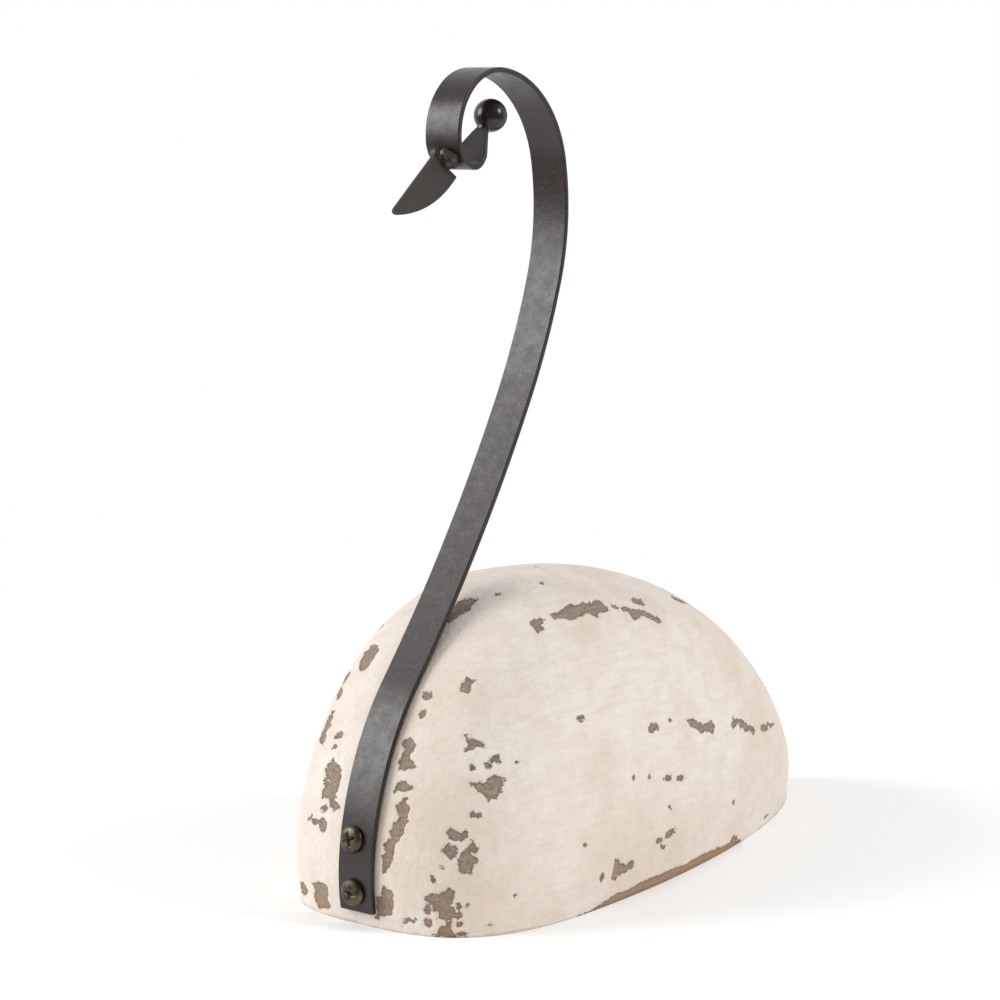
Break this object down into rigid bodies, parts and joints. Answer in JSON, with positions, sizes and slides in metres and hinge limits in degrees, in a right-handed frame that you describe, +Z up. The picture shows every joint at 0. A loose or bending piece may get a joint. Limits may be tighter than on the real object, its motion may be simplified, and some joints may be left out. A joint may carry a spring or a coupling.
{
  "type": "wooden swan figurine",
  "caption": "Folk-art swan figurine: painted, worn wooden body with a flat underside, and a screwed-on flat steel strap bent over into the neck and head, with a ball eye and a plate beak.",
  "frame": {"origin": "on the underside of the body, in the middle plane and halfway along the body's length", "axes": "+Z up, -Y towards the breast and beak, +X towards the swan's left side"},
  "size_m": [0.1176, 0.2855, 0.3139],
  "materials": {
    "painted_wood": "off-white distressed paint over carved softwood, chipped down to grey-brown wood",
    "black_steel": "waxed black over bare flat bar, low sheen",
    "aged_brass": "antique brass, darkened"
  },
  "bodies": {
    "root": {"body": "painted_wood", "neck_strap": "black_steel", "beak": "black_steel", "eye_ball": "black_steel", "screw_upper": "aged_brass", "screw_lower": "aged_brass"}
  },
  "joints": []
}
